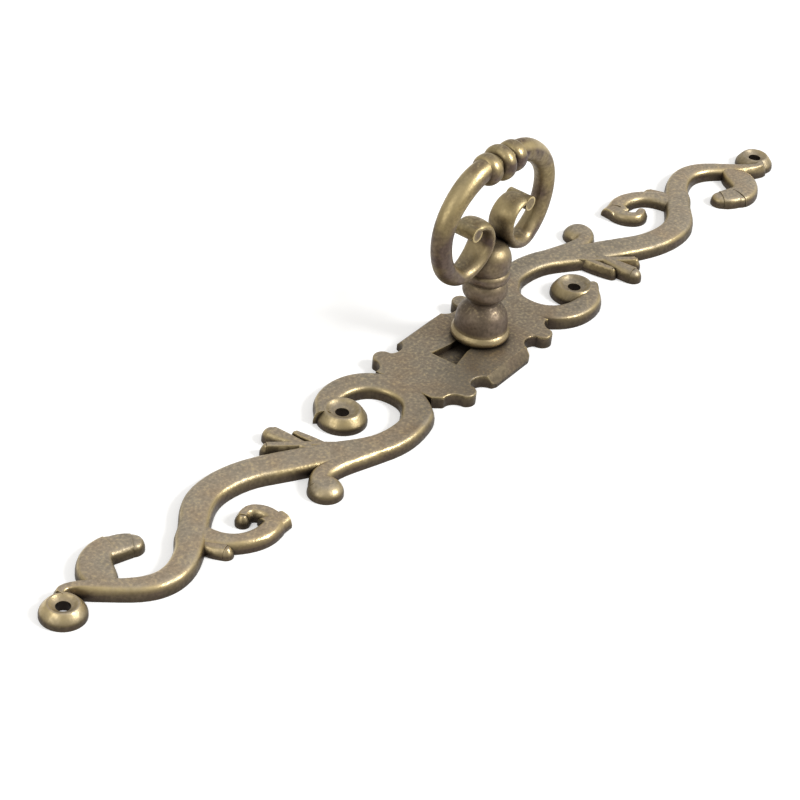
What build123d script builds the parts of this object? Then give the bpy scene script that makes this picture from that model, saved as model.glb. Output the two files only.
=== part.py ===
from build123d import *
from math import atan2, cos, sin
import os

os.makedirs("parts", exist_ok=True)

# Keyhole escutcheon with a fixed key pull, in millimetres.
# The origin is the middle of the plate's back face: X along the plate, Y across it, Z out of the furniture.

# Casting of the plate
plate_t = 2.4              # centre plate, back to front
sink = 1.0                 # the bands start this far behind the back face and are trimmed flush with it
band_pitch = 4.5           # distance between the stations of a band

# Cross-section of a band, from the foot of its side wall over the shoulder and the brow to the crown
wall_lean = 0.1            # the wall leans in by this share of the shoulder's step
wall_rise = 0.42           # at this share of the crown
shoulder_in = 0.5          # the shoulder stands in from the foot by this much
shoulder_most = 0.4        # but at most by this share of the half width
shoulder_rise = 0.82       # height of the shoulder as a share of the crown
brow_out = 0.45            # the brow's distance from the middle as a share of the half width
brow_rise = 0.96           # and its height as a share of the crown

# The main band of one arm runs from the end eye through an S to the centre plate and into the volute
main_crown = 2.65
main_run = [
    (-99.2, 2.5), (-96.3, 2.1), (-93.4, 0.0), (-90.6, -3.0), (-88.0, -5.0), (-84.5, -6.2), (-81.0, -5.8),
    (-77.0, -3.8), (-73.0, -1.0), (-69.0, 2.0), (-65.0, 3.9), (-60.0, 4.2), (-55.0, 3.1), (-50.0, 0.7),
    (-45.0, -1.9), (-40.0, -4.7), (-35.0, -7.5), (-30.0, -8.6), (-25.0, -8.2), (-21.3, -6.2), (-19.0, -2.5),
    (-19.2, 2.5), (-22.0, 6.1), (-26.0, 7.5), (-30.7, 6.9), (-34.2, 4.4),
]
main_half_widths = [1.2, 1.9, 2.3, 2.6, 2.9, 2.9, 3.1, 3.0, 2.7, 2.8, 2.8, 2.6, 1.8]

# The smaller scrolls, each a run of points, its half widths from end to end and the height of its crown
leaf_scroll = ([(-91.6, -1.2), (-91.1, 2.4), (-88.2, 5.5), (-85.0, 5.9)], [1.9, 3.2, 2.9, 2.6], 2.4)
leaf_tip = ([(-86.8, 5.6), (-84.0, 5.2), (-81.8, 4.0)], [2.3, 2.7, 2.2], 2.3)
hook_scroll = (
    [(-72.7, 0.2), (-71.9, -5.0), (-69.6, -7.9), (-66.0, -9.4), (-62.0, -8.8)],
    [2.2, 2.2, 1.8, 1.9, 1.8],
    2.3,
)
hook_curl = ([(-63.2, -9.4), (-61.0, -7.4), (-61.6, -4.8), (-64.8, -4.4)], [1.8, 1.7, 1.5, 1.3], 2.2)
hook_tip = ([(-63.5, -8.6), (-59.6, -9.0)], [2.4, 1.7], 2.1)
hook_lobe = ([(-74.2, -2.2), (-72.6, -7.8)], [1.2, 1.9, 1.4], 1.9)
ball_scroll = (
    [(-49.3, -8.0), (-46.4, -6.0), (-42.0, -6.6), (-37.0, -7.9), (-32.0, -8.8)],
    [2.2, 1.9, 1.7, 1.9, 2.2],
    2.45,
)
fan_low = ([(-39.4, -2.6), (-47.9, 5.4)], [0.5, 1.3, 1.2], 2.4)
fan_mid = ([(-43.2, -2.4), (-44.2, 7.5)], [0.8, 1.6, 1.8], 2.5)
fan_high = ([(-40.6, -3.2), (-41.7, 4.3)], [0.8, 1.3, 0.95], 2.3)
small_scrolls = [leaf_scroll, leaf_tip, hook_scroll, hook_curl, hook_tip, hook_lobe, ball_scroll]
small_scrolls += [fan_low, fan_mid, fan_high]
rounded_ends = [leaf_scroll, leaf_tip, hook_curl, hook_lobe, fan_low, fan_mid, fan_high]
end_narrow = 0.96          # a rounded end's radius as a share of its band's half width
end_low = 0.93             # and its height as a share of the band's crown

# Round bosses: centre, radius, height of the crest, crest as a share of the radius, dip towards the middle
end_eye = ((-100.6, 0.3), 3.85, 2.5, 0.68, 0.8)
volute_eye = ((-31.3, 2.6), 4.5, 2.6, 0.74, 0.9)
ball = ((-49.0, -8.7), 3.1, 2.5, 0.45, 0.05)
rim_lean = 0.1             # lean of a boss's wall at its lower third
rim_in = 0.6               # the rim's shoulder stands in by this much
rim_rise = 0.72            # at this share of the crest's height
nail_r = 1.25              # nail hole in the eyes

# Centre plate, drawn as one quarter; the whole plate sits at a small turn to the arms
plate_turn = 3             # degrees
long_diagonal = 1.5        # the quarters on one diagonal stand this much further out along X
plate_half_y = 10.4
corner_bevel = 1.0
corner = (-5.4, 10.0)
corner_scallop = (-7.6, 7.6)
ear_start = (-9.8, 8.3)
ear_top = (-12.0, 10.4)
ear_end = (-13.4, 9.4)
ear_scallop = (-14.2, 7.5)
ear_foot = (-16.2, 6.9)
waist = (-17.6, 5.2)
edge_round = 0.3           # worn edge round the front
cusp_round = 0.5           # plan rounding of the cusps
bevel_in = 1.5             # the long sides slope from this far inside the edge
bevel_foot = 0.7           # down to this height at the edge
bevel_over = 0.8           # the bevel's cutter reaches past the edge by this share of its width
bevel_half_x = 8.4

# Keyhole slot, blind, below the key
slot_end_x = -6.4
slot_wide = 5.5
slot_near_x = -1.6
slot_narrow = 3.6
slot_depth = 1.3

# Key
seat_x = 4.7
spigot_r = 3.0
seat_clear = 0.1
spigot_z = 0.4             # the spigot stops short of the back face
tapped_r = 1.65            # tapping bore of an M4 screw
tapped_depth = 9.0

# Outline of the turned stem from the collar up, as (radius, height)
collar_line = [(4.9, plate_t), (5.45, 3.3), (4.95, 4.4)]
bell_line = [(4.95, 4.4), (4.8, 6.0), (4.4, 7.7), (3.5, 8.9), (2.75, 9.6)]
ring_line = [(2.75, 9.6), (2.85, 10.3), (3.8, 11.3), (4.15, 12.5), (3.9, 13.7), (3.4, 14.5)]
bead_line = [(3.4, 14.5), (4.2, 15.2), (4.25, 16.0), (3.85, 16.7)]
drum_line = [(3.85, 16.7), (4.2, 18.6), (3.7, 20.6), (0, 22.0)]

# Half of the bow: points in the bow's plane with the half thickness in it and the half width across it
bow_run = [
    (0.0, 38.4, 1.9, 1.9), (4.2, 38.8, 2.0, 2.0), (8.3, 37.8, 2.1, 2.1), (12.4, 34.8, 2.0, 2.0),
    (14.9, 30.2, 1.9, 1.9), (14.9, 26.3, 1.9, 1.9), (13.7, 22.9, 1.9, 1.9), (11.3, 20.2, 1.8, 2.0),
    (8.6, 19.2, 1.5, 2.2), (5.6, 20.3, 1.25, 2.5), (3.5, 22.3, 1.1, 2.7), (2.7, 24.9, 1.0, 2.7),
    (3.6, 27.2, 1.0, 2.6), (5.7, 28.4, 1.0, 2.5), (7.8, 27.9, 1.1, 2.4),
]
rolled_end_r = 1.35
bow_top_z = bow_run[0][1]
beads = [(-3.5, 2.9), (0, 3.3), (3.5, 2.9)]   # place along the bow and radius
bead_half = 1.7
bead_foot = 1.2            # the beads rise out of the bow this far from its middle


def flank(w, crown):
    """One side of a band's cross-section: foot, wall, shoulder and brow."""
    step_in = min(shoulder_in, shoulder_most * w)
    wall = (w - wall_lean * step_in, wall_rise * crown)
    shoulder = (w - step_in, shoulder_rise * crown)
    return [(w, -sink), wall, shoulder, (brow_out * w, brow_rise * crown)]


def band(run, half_widths, crown):
    """A D-shaped band along a smooth run of points, its half width read off evenly from end to end."""
    line = Spline(*run) if len(run) > 2 else Line(*run)
    count = max(4, round(line.length / band_pitch) + 1)
    with BuildPart() as solid:
        for i in range(count):
            share = i / (count - 1)
            place = share * (len(half_widths) - 1)
            low = min(int(place), len(half_widths) - 2)
            w = half_widths[low] + (half_widths[low + 1] - half_widths[low]) * (place - low)
            rising = flank(w, crown)
            falling = [(-x, z) for x, z in reversed(rising)]
            tangent = line % share
            with BuildSketch(Plane(line @ share, x_dir=(-tangent.Y, tangent.X, 0), z_dir=tangent)):
                with BuildLine():
                    Spline(*rising, (0, crown), *falling, tangents=[(0, 1), (0, -1)])
                    Line(falling[-1], rising[0])
                make_face()
        loft()
    return solid.part


def rounded_end(run, half_widths, crown):
    """The round end of a band: its cross-section, a little smaller, turned about the run's last point."""
    low_crown = end_low * crown
    rising = flank(end_narrow * half_widths[-1], low_crown)
    with BuildPart() as solid:
        with BuildSketch(Plane.XZ):
            with BuildLine():
                Spline(*rising, (0, low_crown), tangents=[(0, 1), (-1, 0)])
                Polyline((0, low_crown), (0, -sink), rising[0])
            make_face()
        revolve(axis=Axis.Z)
    return Location((run[-1][0], run[-1][1], 0)) * solid.part


def boss(centre, radius, top, crest, dip):
    """A round boss with a rounded rim; its crest ring stands at the given share of the radius."""
    wall = (radius - rim_lean, wall_rise * top)
    rim = (radius - rim_in, rim_rise * top)
    with BuildPart() as solid:
        with BuildSketch(Plane.XZ):
            with BuildLine():
                Line((0, -sink), (radius, -sink))
                Spline((radius, -sink), wall, rim, (crest * radius, top), (0, top - dip),
                       tangents=[(0, 1), (-1, 0)])
                Line((0, top - dip), (0, -sink))
            make_face()
        revolve(axis=Axis.Z)
    return Location((centre[0], centre[1], 0)) * solid.part


arm = [band(main_run, main_half_widths, main_crown)]
arm += [band(*scroll) for scroll in small_scrolls]
arm += [rounded_end(*scroll) for scroll in rounded_ends]
arm += [boss(*end_eye), boss(*volute_eye), boss(*ball)]
half_turn = Rotation(0, 0, 180)

with BuildPart() as centre_plate:
    with BuildSketch() as centre:
        with BuildLine():
            for side_x, side_y in ((1, 1), (1, -1), (-1, 1), (-1, -1)):
                out = long_diagonal if side_x == side_y else 0
                quarter = [(x - out, y) for x, y in (corner, corner_scallop, ear_start, ear_top, ear_end,
                                                     ear_scallop, ear_foot)]
                start = (quarter[0][0] + corner_bevel, plate_half_y)
                edge = [(side_x * x, side_y * y) for x, y in [start, *quarter, waist]]
                Line((0, side_y * plate_half_y), edge[0])
                Line(edge[0], edge[1])
                for i in (1, 3, 5):
                    ThreePointArc(*edge[i:i + 3])
                Line(edge[-2], edge[-1])
                Line(edge[-1], (side_x * waist[0], 0))
        make_face()
        off_axis = [v for v in centre.vertices() if abs(v.X) > 1 and abs(v.Y) > 1]
        fillet([v for v in off_axis if abs(v.X) < abs(waist[0]) - cusp_round], cusp_round)
    extrude(amount=plate_t)
    fillet(centre_plate.faces().sort_by(Axis.Z)[-1].edges(), edge_round)
    slope_y = bevel_in * bevel_over
    slope_z = (plate_t - bevel_foot) * bevel_over
    with BuildSketch(Plane.YZ):
        with BuildLine():
            Polyline((plate_half_y - bevel_in - slope_y, plate_t + slope_z),
                     (plate_half_y + slope_y, bevel_foot - slope_z),
                     (plate_half_y + slope_y, plate_t + slope_z), close=True)
        make_face()
        mirror(about=Plane.YZ)
    extrude(amount=bevel_half_x, both=True, mode=Mode.SUBTRACT)
    with BuildSketch(Plane.XY.offset(plate_t)):
        with BuildLine():
            Polyline((slot_end_x, slot_wide / 2), (slot_near_x, slot_narrow / 2), (seat_x, slot_narrow / 2),
                     (seat_x, -slot_narrow / 2), (slot_near_x, -slot_narrow / 2),
                     (slot_end_x, -slot_wide / 2), close=True)
        make_face()
    extrude(amount=-slot_depth, mode=Mode.SUBTRACT)

with BuildPart() as escutcheon_plate:
    add(Rotation(0, 0, plate_turn) * centre_plate.part)
    add(arm)
    add([half_turn * piece for piece in arm])
    split(bisect_by=Plane.XY, keep=Keep.TOP)
    with Locations((seat_x, 0, plate_t)):
        Hole(spigot_r + seat_clear)
    eyes = [end_eye[0], volute_eye[0]]
    with Locations([(side * x, side * y, plate_t) for x, y in eyes for side in (1, -1)]):
        Hole(nail_r)


def bow_half():
    """One side of the bow, lofted round its run and closed by a rolled end."""
    with BuildPart() as solid:
        for i, (x, z, thick, wide) in enumerate(bow_run):
            before = bow_run[max(i - 1, 0)]
            after = bow_run[min(i + 1, len(bow_run) - 1)]
            heading = atan2(after[1] - before[1], after[0] - before[0]) if i else 0.0
            tangent = (cos(heading), 0, sin(heading))
            with BuildSketch(Plane((x, 0, z), x_dir=(0, 1, 0), z_dir=tangent)):
                Ellipse(wide, thick)
        loft()
        end_x, end_z, _, end_wide = bow_run[-1]
        with BuildSketch(Plane.XZ):
            with Locations((end_x, end_z)):
                Circle(rolled_end_r)
        extrude(amount=end_wide, both=True)
    return solid.part


bow_side = bow_half()

with BuildPart() as key_pull:
    with BuildSketch(Plane.XZ):
        with BuildLine():
            Polyline((0, spigot_z), (spigot_r, spigot_z), (spigot_r, plate_t), collar_line[0])
            for outline in (collar_line, bell_line, ring_line, bead_line, drum_line):
                Spline(*outline)
            Line(drum_line[-1], (0, spigot_z))
        make_face()
    revolve(axis=Axis.Z)
    add(bow_side)
    add(mirror(bow_side, about=Plane.YZ, mode=Mode.PRIVATE))
    for x, r in beads:
        foot_z = bow_top_z + bead_foot
        with BuildSketch(Plane.XZ):
            with BuildLine():
                Spline((x - bead_half, foot_z), (x, bow_top_z + r), (x + bead_half, foot_z),
                       tangents=[(0.1, 1), (0.1, -1)])
                Polyline((x + bead_half, foot_z), (x + bead_half, bow_top_z), (x - bead_half, bow_top_z),
                         (x - bead_half, foot_z))
            make_face()
        revolve(axis=Axis((0, 0, bow_top_z), (1, 0, 0)))
    with Locations(Location((0, 0, spigot_z), (180, 0, 0))):
        Hole(tapped_r, depth=tapped_depth)

escutcheon_plate.part.label = "escutcheon_plate"
export_step(escutcheon_plate.part, "parts/escutcheon_plate.step")

key = Location((seat_x, 0, 0)) * key_pull.part
key.label = "key_pull"
export_step(key, "parts/key_pull.step")
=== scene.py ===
"""Looks of the keyhole escutcheon: aged brass castings on a pale floor, in studio light and the photo's view."""

import math

import bpy
import numpy as np
from mathutils import Matrix, Vector

MM = 0.001

# The photo's view: how the camera is turned, where the plate's middle lies before it and how long its lens is
VIEW_AZIMUTH = math.radians(54.43)
VIEW_ELEVATION = math.radians(35.33)
VIEW_ROLL = math.radians(5.58)
PLATE_RIGHT = 11.41 * MM
PLATE_UP = 8.21 * MM
PLATE_AWAY = 421.47 * MM
SENSOR = 36.0
LENS = 104.1
CLIP_START = 0.01

SEAT_X = 4.7 * MM           # the key's axis

# Tones of walls and their patches, of tops and their patches, and of worn metal
# The walls' tones are darker partly as painted shade; the pale worn tone also paints highlights
PLATE_TONES = ("#72654D", "#574A3D", "#BCB09D", "#A8967F", "#F2DA98")
KEY_TONES = ("#8A7A56", "#4C3F37", "#B2A382", "#6A5849", "#F4DD9E")
# Painted shade, with some grime, that darkens corners and hollows
CORNER_GRIME_AND_SHADE_TONE = "#2E2621"

# A darker tone at the foot: its tone, the share of it below a height, that height and the height where it ends
PLATE_FOOT = ("#3A312B", 0.62, 0.0, 2.0 * MM)
KEY_FOOT = ("#63564D", 0.85, 10.0 * MM, 29.0 * MM)
FOOT_WEAR = 0.1             # the share of the wear that shows where the foot is darker

# Noise patterns of the patina, each one over the size of a patch. The sand that brass is cast in leaves a
# grain of about 0.15 mm. That is too fine to show, so the speckle and the grain are drawn coarser.
PATCH_NOISE = {"Scale": 1 / (7 * MM), "Detail": 3.0}
SPECKLE_NOISE = {"Scale": 1 / (0.6 * MM), "Detail": 4.0}
GRAIN_NOISE = {"Scale": 1 / (0.4 * MM), "Detail": 2.0}

# What share() takes after a noise: its limits, and what they give where that isn't 0 and 1
TOP_PATCHES = (0.4, 0.68)
WALL_PATCHES = (0.42, 0.62)
PATCH_BRIGHTNESS = (0.3, 0.7, 0.74, 1.2)
SPECKLE_BRIGHTNESS = (0.3, 0.7, 0.78, 1.2)
RUBBED_PATCHES = (0.38, 0.58, 0.25, 0.95)
WORN_SPECKS = (0.52, 0.72, 0.0, 0.3)

# Distances from the key's axis between which the stretch beside the key ends and its darker tone fades out
BESIDE_KEY = (14 * MM, 24 * MM)
# The darker tone near the key is partly thick patina and partly painted shade from the key
TONE_FADE = (6 * MM, 60 * MM)

# Slopes, as how far a surface faces out of the furniture: 0 is upright and 1 is flat
WALL_SLOPE = 0.4            # a steeper one has the wall's tone, darker partly as painted shade
TOP_SLOPE = 0.95            # a flatter one has the top's tone
SHOULDER_WEAR_AND_SHEEN = 0.4         # the most wear and painted highlight on the rounded shoulders between them
SHOULDER_TOP = (0.97, 0.8, 0.0, SHOULDER_WEAR_AND_SHEEN)
SHOULDER_FOOT = (0.25, 0.55, 0.0, SHOULDER_WEAR_AND_SHEEN)

# Beside the key: the share of brightness, that of wear and sheen on shoulders, how flat a slope has the wall's
# tone
# Beside the key the lower brightness is partly painted shade, and the wall's tone on slopes is painted shade
AS_ELSEWHERE = (1.0, 1.0, WALL_SLOPE)
PLATE_NEAR_KEY = (0.72, 0.0, 0.62)

# Ambient occlusion looks this far into the metal for edges and out of it for corner shade. share() takes the
# rest.
EDGE_DEPTH = 0.7 * MM
CORNER_REACH = 4.0 * MM
OCCLUSION_SAMPLES = 6
EDGES = (0.8, 0.35)
CORNER_SHADE_LIMITS = (0.93, 0.3, 0.0, 0.92)

# The key's collar: its rim lies between two distances from the key's axis and ends between two heights
# The worn tone there is partly wear and partly a painted highlight on the collar
COLLAR_RIM = (4.8 * MM, 5.05 * MM)
RIM_TOP = (5.2 * MM, 4.6 * MM)
RIM_WEAR_AND_SHEEN = 0.28

# The patina is rougher where it is dark, and wear takes some of the roughness off. Under patina the surface
# isn't all metal, so metallic stays under 1.
ROUGHNESS = (0.65, 1.25, 0.58, 0.38)
WEAR_ON_ROUGHNESS = -0.22
METALLIC = 0.85
GRAIN_RELIEF = {"Strength": 0.45, "Distance": 0.07 * MM}
PATCH_RELIEF = {"Strength": 0.3, "Distance": 0.4 * MM}

FLOOR_SIZE = 20.0
FLOOR_DROP = 0.05 * MM      # the floor lies this far under the plate's back
FLOOR_TONE = "#E6E6E6"
FLOOR_ROUGHNESS = 0.9
FLOOR_GLOW = 0.34           # what brings the seen floor up to white

ROOM_TONE = "#F4F2EE"
ROOM_STRENGTH = 0.7
LAMP_AIM = (0, 0, 0.01)
# Each lamp's name, place, width in metres and watts
LAMPS = (("key_light", (0.38, -0.78, 0.68), 0.3, 9.5),
         ("fill_light", (-0.9, 0.1, 0.6), 0.6, 3.0))


def srgb(code):
    """The linear colour, with alpha, of an sRGB hex code."""
    values = [int(code[i:i + 2], 16) / 255 for i in (1, 3, 5)]
    return [v / 12.92 if v <= 0.04045 else ((v + 0.055) / 1.055) ** 2.4 for v in values] + [1.0]


def add_node(tree, kind, links=None, values=None, **properties):
    """Adds a node with its properties set, its inputs' values set and its inputs linked, by name or number."""
    made = tree.nodes.new(kind)
    for key, value in properties.items():
        setattr(made, key, value)
    for key, value in (values or {}).items():
        made.inputs[key].default_value = value
    for key, source in (links or {}).items():
        tree.links.new(source, made.inputs[key])
    return made


def new_material(name):
    """A material with its node tree and its Principled shader."""
    material = bpy.data.materials.new(name)
    material.use_nodes = True
    return material, material.node_tree, material.node_tree.nodes["Principled BSDF"]


def share(tree, source, lowest, highest, start=0.0, end=1.0):
    """How far a value has gone from one limit to the other, as a number from start to end."""
    limits = {1: lowest, 2: highest, 3: start, 4: end}
    return add_node(tree, "ShaderNodeMapRange", {0: source}, limits).outputs[0]


def mixed(tree, amount, first, second):
    """The colour between two, each a node's output or an sRGB code. They are the Mix node's inputs 6 and 7."""
    links, values = {0: amount}, {}
    for number, colour in ((6, first), (7, second)):
        if isinstance(colour, str):
            values[number] = srgb(colour)
        else:
            links[number] = colour
    return add_node(tree, "ShaderNodeMix", links, values, data_type="RGBA").outputs[2]


def aged_brass(name, tones, foot, near_key=AS_ELSEWHERE, rim=None):
    """Cast brass under brown patina: dark, partly as painted shade, on walls and in corners; edges rubbed to
    metal.

    The tones are those of walls and their patches, tops and their patches, and worn metal. The walls' darker
    tones are partly painted shade, and the worn tone also paints highlights. foot is the darker tone towards
    the bottom, the share of it below a height, that height and the height where it ends. near_key is what holds
    beside the key: the share of brightness, lowered partly as painted shade, the share of wear and painted
    highlight on shoulders and how flat a slope has the wall's tone, which paints shade on the bevel there.
    Between the two distances of rim from the key's axis the patina ends, and all outside is worn, which also
    paints the collar's highlight.
    """
    material, tree, shader = new_material(name)
    shaded_wall_tone, wall_patch, top_tone, top_patch, worn_and_sheen_tone = tones
    foot_tone, foot_share, foot_full, foot_end = foot
    near_brightness, near_wear, near_slope = near_key
    place = add_node(tree, "ShaderNodeTexCoord").outputs["Object"]
    height = add_node(tree, "ShaderNodeSeparateXYZ", {0: place}).outputs["Z"]

    # Patches of tone a few millimetres wide, speckle under a millimetre and the sand grain of the casting
    patches = add_node(tree, "ShaderNodeTexNoise", {"Vector": place}, PATCH_NOISE).outputs[0]
    speckle = add_node(tree, "ShaderNodeTexNoise", {"Vector": place}, SPECKLE_NOISE).outputs[0]
    grain = add_node(tree, "ShaderNodeTexNoise", {"Vector": place}, GRAIN_NOISE).outputs[0]

    # The distance from the key's axis, and from 0 in the stretch beside the key to 1 away from it
    centred = add_node(tree, "ShaderNodeVectorMath", {0: place}, {1: (-SEAT_X, 0, 0)}, operation="ADD")
    flat = add_node(tree, "ShaderNodeVectorMath", {0: centred.outputs[0]}, {1: (1, 1, 0)},
                    operation="MULTIPLY")
    reach = add_node(tree, "ShaderNodeVectorMath", {0: flat.outputs[0]}, operation="LENGTH").outputs["Value"]
    away = share(tree, reach, *BESIDE_KEY)

    # From walls at 0 to tops at 1, by how far the surface faces out of the furniture
    # The walls' darker tone is partly patina and partly painted shade
    normal = add_node(tree, "ShaderNodeNewGeometry").outputs["Normal"]
    facing = add_node(tree, "ShaderNodeSeparateXYZ", {0: normal}).outputs["Z"]
    # Beside the key, slopes up to near_slope take the wall's tone too: painted shade on the bevel
    steepest_shaded_slope = share(tree, away, 0.0, 1.0, near_slope, WALL_SLOPE)
    lit_top_share = add_node(tree, "ShaderNodeMapRange", {0: facing, 1: steepest_shaded_slope}, {2: TOP_SLOPE}).outputs[0]

    # Edges are where the metal is thin behind the surface; corners, where little light comes in, get painted
    # shade
    thin = add_node(tree, "ShaderNodeAmbientOcclusion", values={"Distance": EDGE_DEPTH},
                    inside=True, samples=OCCLUSION_SAMPLES)
    edges = share(tree, thin.outputs["AO"], *EDGES)
    shut = add_node(tree, "ShaderNodeAmbientOcclusion", values={"Distance": CORNER_REACH},
                    samples=OCCLUSION_SAMPLES)
    grime_and_shade_in_corners = share(tree, shut.outputs["AO"], *CORNER_SHADE_LIMITS)

    # The patina's own colour and brightness, made darker towards the foot
    face = mixed(tree, share(tree, patches, *TOP_PATCHES), top_tone, top_patch)
    wall_patina_and_shade = mixed(tree, share(tree, patches, *WALL_PATCHES), shaded_wall_tone, wall_patch)
    body = mixed(tree, lit_top_share, wall_patina_and_shade, face)
    tone = share(tree, patches, *PATCH_BRIGHTNESS)
    dots = share(tree, speckle, *SPECKLE_BRIGHTNESS)
    both = add_node(tree, "ShaderNodeMath", {0: tone, 1: dots}, operation="MULTIPLY").outputs[0]
    darker_at_foot = mixed(tree, share(tree, height, foot_full, foot_end, foot_share, 0.0), body, foot_tone)

    # Around the key the plate is darker: partly patina left thick, because no cloth reaches there, partly
    # painted shade
    patina_and_shade_near_key = share(tree, reach, *TONE_FADE, near_brightness, 1.0)
    mottle_and_shade = add_node(tree, "ShaderNodeMath", {0: both, 1: patina_and_shade_near_key}, operation="MULTIPLY").outputs[0]
    mottled = add_node(tree, "ShaderNodeVectorMath", {0: darker_at_foot, 3: mottle_and_shade}, operation="SCALE").outputs[0]

    # Worn metal: on edges and shoulders where the patches let it through, in specks, and all over a rim
    # On the shoulders and the collar's rim the pale worn tone is also a painted highlight
    upper = share(tree, facing, *SHOULDER_TOP)
    lower = share(tree, facing, *SHOULDER_FOOT)
    round_parts = add_node(tree, "ShaderNodeMath", {0: upper, 1: lower}, operation="MINIMUM").outputs[0]
    polish_and_sheen_away_from_key = share(tree, away, 0.0, 1.0, near_wear, 1.0)
    shoulder_wear_and_sheen = add_node(tree, "ShaderNodeMath", {0: round_parts, 1: polish_and_sheen_away_from_key},
                         operation="MULTIPLY").outputs[0]
    high = add_node(tree, "ShaderNodeMath", {0: edges, 1: shoulder_wear_and_sheen}, operation="MAXIMUM").outputs[0]
    within_reach = share(tree, height, foot_full, foot_end, FOOT_WEAR, 1.0)
    wear_and_sheen_in_reach = add_node(tree, "ShaderNodeMath", {0: high, 1: within_reach}, operation="MULTIPLY").outputs[0]
    rubbed_wear_and_sheen = add_node(tree, "ShaderNodeMath", {0: wear_and_sheen_in_reach, 1: share(tree, patches, *RUBBED_PATCHES)},
                       operation="MULTIPLY").outputs[0]
    specks = share(tree, speckle, *WORN_SPECKS)
    dusted = add_node(tree, "ShaderNodeMath", {0: specks, 1: lit_top_share}, operation="MULTIPLY").outputs[0]
    wear_and_sheen = add_node(tree, "ShaderNodeMath", {0: rubbed_wear_and_sheen, 1: dusted}, operation="MAXIMUM").outputs[0]
    if rim:
        under = share(tree, height, *RIM_TOP)
        bright = add_node(tree, "ShaderNodeMath", {0: share(tree, reach, *rim, 0.0, RIM_WEAR_AND_SHEEN), 1: under},
                          operation="MULTIPLY").outputs[0]
        wear_and_sheen = add_node(tree, "ShaderNodeMath", {0: wear_and_sheen, 1: bright}, operation="MAXIMUM").outputs[0]
    rubbed_and_sheen = mixed(tree, wear_and_sheen, mottled, worn_and_sheen_tone)
    # Painted shade, with some grime, darkens the corners
    tree.links.new(mixed(tree, grime_and_shade_in_corners, rubbed_and_sheen, CORNER_GRIME_AND_SHADE_TONE), shader.inputs["Base Color"])

    rough = share(tree, both, *ROUGHNESS)
    smoothed = add_node(tree, "ShaderNodeMath", {0: wear_and_sheen, 2: rough}, {1: WEAR_ON_ROUGHNESS},
                        operation="MULTIPLY_ADD")
    tree.links.new(smoothed.outputs[0], shader.inputs["Roughness"])
    shader.inputs["Metallic"].default_value = METALLIC

    cast = add_node(tree, "ShaderNodeBump", {"Height": grain}, GRAIN_RELIEF)
    waves = add_node(tree, "ShaderNodeBump", {"Height": patches, "Normal": cast.outputs[0]}, PATCH_RELIEF)
    tree.links.new(waves.outputs[0], shader.inputs["Normal"])
    return material


def white_floor():
    """A sheet of matt white paper: the camera sees it as even white, with no shine, under the soft shadow."""
    size = FLOOR_SIZE / 2
    mesh = bpy.data.meshes.new("floor")
    grime_and_shade_in_corners = [(-size, -size, 0), (size, -size, 0), (size, size, 0), (-size, size, 0)]
    mesh.from_pydata(grime_and_shade_in_corners, [], [(0, 1, 2, 3)])
    floor = bpy.data.objects.new("floor", mesh)
    floor.location.z = -FLOOR_DROP
    bpy.context.scene.collection.objects.link(floor)
    material, tree, shader = new_material("white_paper")
    shader.inputs["Base Color"].default_value = srgb(FLOOR_TONE)
    shader.inputs["Roughness"].default_value = FLOOR_ROUGHNESS
    # The glow is for rays from the camera and from gloss: it lights nothing, and the metal shows white paper too
    ray = add_node(tree, "ShaderNodeLightPath").outputs
    seen = add_node(tree, "ShaderNodeMath", {0: ray["Is Camera Ray"], 1: ray["Is Glossy Ray"]},
                    operation="MAXIMUM")
    lift = add_node(tree, "ShaderNodeMath", {0: seen.outputs[0]}, {1: FLOOR_GLOW}, operation="MULTIPLY")
    glow = add_node(tree, "ShaderNodeEmission", {"Strength": lift.outputs[0]})
    total = add_node(tree, "ShaderNodeAddShader", {0: shader.outputs[0], 1: glow.outputs[0]})
    tree.links.new(total.outputs[0], tree.nodes["Material Output"].inputs["Surface"])
    floor.data.materials.append(material)
    return floor


def soft_box(name, place, size, watts):
    """A square area lamp at a place, turned towards the plate."""
    data = bpy.data.lights.new(name, "AREA")
    data.shape = "SQUARE"
    data.size = size
    data.energy = watts
    lamp = bpy.data.objects.new(name, data)
    lamp.location = place
    lamp.rotation_euler = (Vector(LAMP_AIM) - Vector(place)).to_track_quat("-Z", "Y").to_euler()
    bpy.context.scene.collection.objects.link(lamp)


def studio():
    """A pale room and two soft boxes: a key to the right of the camera and a weaker fill to its left."""
    world = bpy.data.worlds.new("studio")
    world.use_nodes = True
    bpy.context.scene.world = world
    back = world.node_tree.nodes["Background"]
    back.inputs["Color"].default_value = srgb(ROOM_TONE)
    back.inputs["Strength"].default_value = ROOM_STRENGTH
    for lamp in LAMPS:
        soft_box(*lamp)


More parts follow.
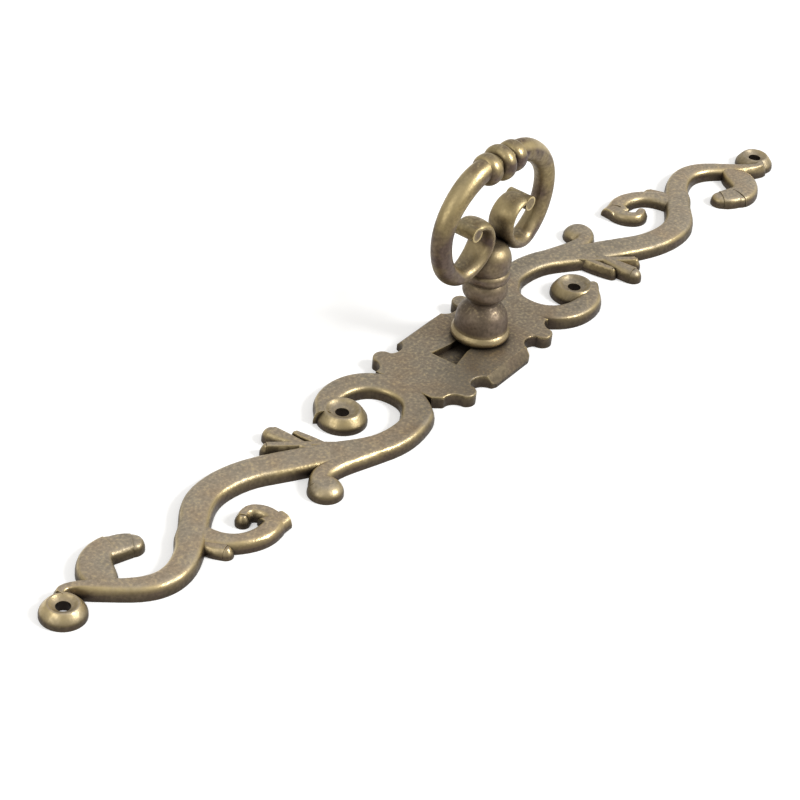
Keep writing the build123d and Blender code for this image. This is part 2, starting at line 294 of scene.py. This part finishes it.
def photo_camera():
    """The camera that sees the plate as the photo does."""
    right = np.array([math.cos(VIEW_AZIMUTH), -math.sin(VIEW_AZIMUTH), 0])
    level = np.array([math.sin(VIEW_AZIMUTH), math.cos(VIEW_AZIMUTH), 0])
    upward = np.array([0, 0, 1])
    ahead = math.cos(VIEW_ELEVATION) * level - math.sin(VIEW_ELEVATION) * upward
    over = math.sin(VIEW_ELEVATION) * level + math.cos(VIEW_ELEVATION) * upward
    side = math.cos(VIEW_ROLL) * right + math.sin(VIEW_ROLL) * over
    top = -math.sin(VIEW_ROLL) * right + math.cos(VIEW_ROLL) * over
    place = -PLATE_RIGHT * side - PLATE_UP * top - PLATE_AWAY * ahead
    data = bpy.data.cameras.new("photo_camera")
    data.lens = LENS
    data.sensor_width = SENSOR
    data.clip_start = CLIP_START
    camera = bpy.data.objects.new("photo_camera", data)
    rows = [[side[i], top[i], -ahead[i], place[i]] for i in range(3)]
    camera.matrix_world = Matrix(rows + [[0, 0, 0, 1]])
    bpy.context.scene.collection.objects.link(camera)
    bpy.context.scene.camera = camera


def use_material(node, material):
    """Puts the material in every slot of a CAD node."""
    for i in range(len(node.data.materials)):
        node.data.materials[i] = material


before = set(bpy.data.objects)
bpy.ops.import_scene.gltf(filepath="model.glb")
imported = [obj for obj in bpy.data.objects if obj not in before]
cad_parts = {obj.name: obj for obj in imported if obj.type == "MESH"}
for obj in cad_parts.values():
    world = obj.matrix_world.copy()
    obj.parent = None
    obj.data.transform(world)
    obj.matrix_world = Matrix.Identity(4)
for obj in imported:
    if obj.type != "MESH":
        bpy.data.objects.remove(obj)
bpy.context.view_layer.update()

# The plate: a mottled grey-brown cast face, with walls darkened partly by painted shade, and pale golden edges
plate_brass = aged_brass("aged_brass_casting", PLATE_TONES, PLATE_FOOT, PLATE_NEAR_KEY)
# The key: smoother and more golden where a hand takes hold of the bow, and dull grey-brown down at the bell
key_brass = aged_brass("aged_brass_key", KEY_TONES, KEY_FOOT, rim=COLLAR_RIM)
use_material(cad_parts["escutcheon_plate"], plate_brass)
use_material(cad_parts["key_pull"], key_brass)

white_floor()
studio()
photo_camera()
bpy.context.scene.view_settings.view_transform = "Standard"
